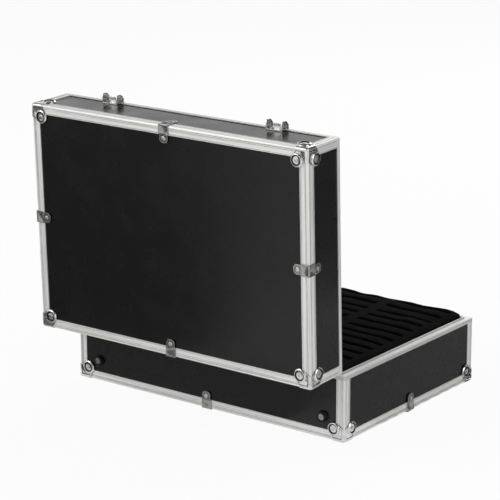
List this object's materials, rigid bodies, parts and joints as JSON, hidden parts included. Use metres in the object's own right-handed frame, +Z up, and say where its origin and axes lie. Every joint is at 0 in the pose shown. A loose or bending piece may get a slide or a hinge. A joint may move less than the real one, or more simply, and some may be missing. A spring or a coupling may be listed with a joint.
{
  "type": "graded card case",
  "caption": "Aluminium-framed black carrying case, lid standing open on rear hinges, with slotted foam for upright card slabs, draw latches and a folding handle.",
  "frame": {"origin": "middle of the underside in plan, on the plane of the corner guards' rings that the case stands on", "axes": "+X to the right seen from the front, +Y to the rear where the lid is hinged, +Z up"},
  "size_m": [0.4444, 0.4093, 0.4117],
  "materials": {
    "aluminium": "brushed, lightly reflective",
    "black_panel": "fine grained, satin",
    "chrome": "bright pressed steel",
    "steel": "satin",
    "foam": "matte cellular foam",
    "lining": "matte, soft",
    "foot_rubber": "matte",
    "handle_plastic": "satin moulded"
  },
  "bodies": {
    "base": {"base_floor_panel": "black_panel", "base_front_panel": "black_panel", "base_rear_panel": "black_panel", "base_left_panel": "black_panel", "base_right_panel": "black_panel", "base_front_edge": "aluminium", "base_rear_edge": "aluminium", "base_left_edge": "aluminium", "base_right_edge": "aluminium", "base_corner_posts": "aluminium", "base_rim": "aluminium", "base_corner_guards": "chrome", "base_edge_clips": "chrome", "base_rivets": "steel", "base_lining": "lining", "base_feet": "foot_rubber", "base_foot_screws": "steel", "card_foam": "foam", "floor_foam": "foam", "latch_plate_left": "chrome", "latch_plate_right": "chrome", "latch_pivot_pins": "steel", "handle_bracket_left": "chrome", "handle_bracket_right": "chrome", "hinge_base_leaf_left": "steel", "hinge_base_leaf_right": "steel", "hinge_pins": "steel"},
    "lid": {"lid_top_panel": "black_panel", "lid_front_panel": "black_panel", "lid_rear_panel": "black_panel", "lid_left_panel": "black_panel", "lid_right_panel": "black_panel", "lid_front_edge": "aluminium", "lid_rear_edge": "aluminium", "lid_left_edge": "aluminium", "lid_right_edge": "aluminium", "lid_corner_posts": "aluminium", "lid_rim": "aluminium", "lid_corner_guards": "chrome", "lid_edge_clips": "chrome", "lid_rivets": "steel", "lid_lining": "lining", "lid_pad": "foam", "lid_feet": "foot_rubber", "lid_foot_screws": "steel", "latch_catch_left": "chrome", "latch_catch_right": "chrome", "hinge_lid_leaf_left": "steel", "hinge_lid_leaf_right": "steel"},
    "handle": {"handle_grip": "handle_plastic", "handle_pins": "steel"},
    "lever_left": {"latch_lever_left": "chrome", "bail_pin_left": "steel"},
    "bail_left": {"latch_bail_left": "chrome"},
    "lever_right": {"latch_lever_right": "chrome", "bail_pin_right": "steel"},
    "bail_right": {"latch_bail_right": "chrome"}
  },
  "joints": [
    {"name": "lid_hinge", "type": "hinge", "parent": "base", "child": "lid", "pos_m": [0, 0.1577, 0.09035], "axis": [1, 0, 0], "range_deg": [0, 91.75]},
    {"name": "latch_lever_left", "type": "hinge", "parent": "base", "child": "lever_left", "pos_m": [-0.132, -0.1605, 0.0682], "axis": [-1, 0, 0], "range_deg": [0, 125]},
    {"name": "latch_bail_left", "type": "hinge", "parent": "lever_left", "child": "bail_left", "pos_m": [-0.132, -0.1575, 0.0622], "axis": [1, 0, 0], "range_deg": [-180, 0]},
    {"name": "latch_lever_right", "type": "hinge", "parent": "base", "child": "lever_right", "pos_m": [0.132, -0.1605, 0.0682], "axis": [-1, 0, 0], "range_deg": [0, 125]},
    {"name": "latch_bail_right", "type": "hinge", "parent": "lever_right", "child": "bail_right", "pos_m": [0.132, -0.1575, 0.0622], "axis": [1, 0, 0], "range_deg": [-180, 0]},
    {"name": "handle_swing", "type": "hinge", "parent": "base", "child": "handle", "pos_m": [0, -0.164, 0.0602], "axis": [-1, 0, 0], "range_deg": [0, 100]}
  ]
}
